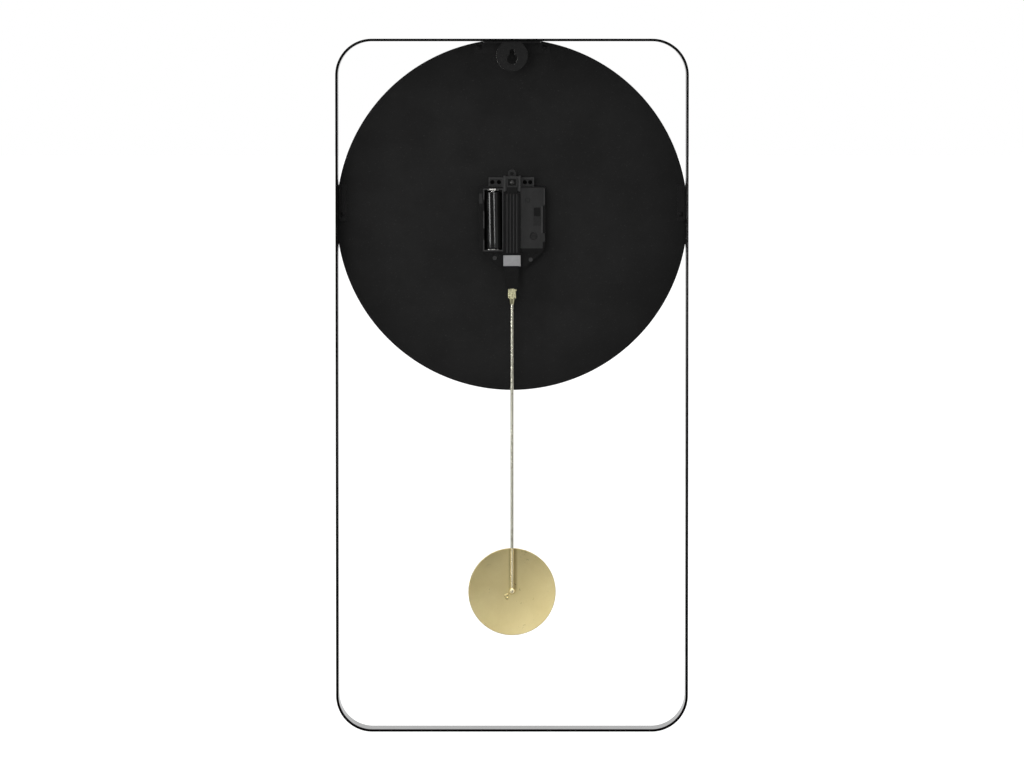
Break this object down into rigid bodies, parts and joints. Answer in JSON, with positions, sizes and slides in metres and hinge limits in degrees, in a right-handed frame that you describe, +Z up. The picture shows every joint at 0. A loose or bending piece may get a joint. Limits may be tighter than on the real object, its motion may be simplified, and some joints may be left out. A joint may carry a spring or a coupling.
{
  "type": "pendulum wall clock",
  "caption": "Wall clock with a tall bent-bar frame, a round sheet dial, a quartz movement and a free pendulum with a disc bob; hangs on a keyhole plate.",
  "frame": {"origin": "top of the hanger plate's keyhole slot, where the wall nail's shank bears, on the wall plane", "axes": "+Z up, +Y towards the wall, the dial faces -Y, +X to the right for a viewer facing the dial"},
  "size_m": [0.305, 0.0413, 0.6],
  "materials": {
    "black_steel": "satin powder coat",
    "black_plastic": "moulded, satin",
    "case_plastic": "moulded, fine texture",
    "white_plastic": "moulded acetal",
    "gold": "satin, lacquered",
    "brass": "turned",
    "nickel": "nickel plated",
    "copper": "enamelled wire",
    "board_green": "solder resist",
    "magnet_grey": "plated ferrite",
    "cell_wrap": "glossy shrink wrap"
  },
  "bodies": {
    "clock_body": {"frame_hoop": "black_steel", "hanger_plate": "black_steel", "top_bracket": "black_steel", "side_bracket_left": "black_steel", "side_bracket_right": "black_steel", "dial_disc": "black_steel", "movement_front_shell": "case_plastic", "movement_back_cover": "case_plastic", "train_bridge": "white_plastic", "hour_marker_01": "gold", "hour_marker_02": "gold", "hour_marker_03": "gold", "hour_marker_04": "gold", "hour_marker_05": "gold", "hour_marker_06": "gold", "hour_marker_07": "gold", "hour_marker_08": "gold", "hour_marker_09": "gold", "hour_marker_10": "gold", "hour_marker_11": "gold", "hour_marker_12": "gold", "threaded_bushing": "brass", "mounting_nut": "brass", "mounting_washer": "nickel", "dial_stud_top_left": "nickel", "dial_stud_top_right": "nickel", "dial_stud_side_left": "nickel", "dial_stud_side_right": "nickel", "battery_contact_plus": "nickel", "battery_contact_minus": "nickel", "stator": "nickel", "crystal_can": "nickel", "pivot_pin": "nickel", "motor_coil": "copper", "drive_coil": "copper", "circuit_board": "board_green"},
    "minute_hand_assembly": {"cannon_pinion": "brass", "minute_hand": "gold", "hand_cap": "gold"},
    "hour_hand_assembly": {"hour_wheel": "white_plastic", "hour_hand": "gold"},
    "minute_wheel_assembly": {"minute_wheel": "white_plastic"},
    "setting_idler_assembly": {"setting_idler": "white_plastic"},
    "set_knob_assembly": {"set_knob": "case_plastic"},
    "seconds_wheel_assembly": {"seconds_wheel": "white_plastic"},
    "third_wheel_assembly": {"third_wheel": "white_plastic"},
    "centre_wheel_assembly": {"centre_wheel": "white_plastic"},
    "intermediate_wheel_assembly": {"intermediate_wheel": "white_plastic"},
    "rotor_assembly": {"rotor": "magnet_grey"},
    "battery_cell": {"battery": "cell_wrap"},
    "pendulum_arm_assembly": {"pendulum_arm": "black_plastic", "arm_magnet": "magnet_grey"},
    "pendulum_rod_assembly": {"rod_connector": "gold", "pendulum_rod": "gold", "bob_boss": "gold", "bob": "gold"}
  },
  "joints": [
    {"name": "minute_hand_turn", "type": "hinge", "parent": "clock_body", "child": "minute_hand_assembly", "pos_m": [0, -0.0303, -0.1435], "axis": [0, 1, 0], "continuous": true},
    {"name": "hour_hand_turn", "type": "hinge", "parent": "clock_body", "child": "hour_hand_assembly", "pos_m": [0, -0.0303, -0.1435], "axis": [0, 1, 0], "continuous": true},
    {"name": "minute_wheel_turn", "type": "hinge", "parent": "clock_body", "child": "minute_wheel_assembly", "pos_m": [-0.00575, -0.0258, -0.14906], "axis": [0, 1, 0], "continuous": true},
    {"name": "setting_idler_turn", "type": "hinge", "parent": "clock_body", "child": "setting_idler_assembly", "pos_m": [-0.01295, -0.0258, -0.156], "axis": [0, 1, 0], "continuous": true},
    {"name": "set_knob_turn", "type": "hinge", "parent": "clock_body", "child": "set_knob_assembly", "pos_m": [-0.0187, -0.0203, -0.16156], "axis": [0, 1, 0], "continuous": true},
    {"name": "seconds_wheel_turn", "type": "hinge", "parent": "clock_body", "child": "seconds_wheel_assembly", "pos_m": [-0.01101, -0.0213, -0.13426], "axis": [0, 1, 0], "continuous": true},
    {"name": "third_wheel_turn", "type": "hinge", "parent": "clock_body", "child": "third_wheel_assembly", "pos_m": [-0.00719, -0.0226, -0.14088], "axis": [0, 1, 0], "continuous": true},
    {"name": "centre_wheel_turn", "type": "hinge", "parent": "clock_body", "child": "centre_wheel_assembly", "pos_m": [0, -0.0241, -0.1435], "axis": [0, 1, 0], "continuous": true},
    {"name": "intermediate_wheel_turn", "type": "hinge", "parent": "clock_body", "child": "intermediate_wheel_assembly", "pos_m": [-0.01734, -0.0201, -0.13903], "axis": [0, 1, 0], "continuous": true},
    {"name": "rotor_turn", "type": "hinge", "parent": "clock_body", "child": "rotor_assembly", "pos_m": [-0.01816, -0.0193, -0.13123], "axis": [0, 1, 0], "continuous": true},
    {"name": "battery_slide", "type": "slide", "parent": "clock_body", "child": "battery_cell", "axis": [0, 1, 0], "range_m": [0, 0.03]},
    {"name": "pendulum_swing", "type": "hinge", "parent": "clock_body", "child": "pendulum_arm_assembly", "pos_m": [0, -0.0123, -0.1153], "axis": [0, 1, 0], "range_deg": [-4, 4]},
    {"name": "pendulum_hook_tilt", "type": "hinge", "parent": "pendulum_arm_assembly", "child": "pendulum_rod_assembly", "pos_m": [0, -0.0139, -0.2025], "axis": [1, 0, 0], "range_deg": [-2.5, 2.5]}
  ],
  "couplings": [
    {"joint": "hour_hand_turn", "follows": "minute_hand_turn", "ratio": 0.083333},
    {"joint": "minute_wheel_turn", "follows": "minute_hand_turn", "ratio": -0.33333},
    {"joint": "setting_idler_turn", "follows": "minute_hand_turn", "ratio": 0.5},
    {"joint": "set_knob_turn", "follows": "minute_hand_turn", "ratio": -0.5},
    {"joint": "third_wheel_turn", "follows": "seconds_wheel_turn", "ratio": -0.13333},
    {"joint": "centre_wheel_turn", "follows": "seconds_wheel_turn", "ratio": 0.016667},
    {"joint": "intermediate_wheel_turn", "follows": "seconds_wheel_turn", "ratio": -5},
    {"joint": "rotor_turn", "follows": "seconds_wheel_turn", "ratio": 30}
  ]
}
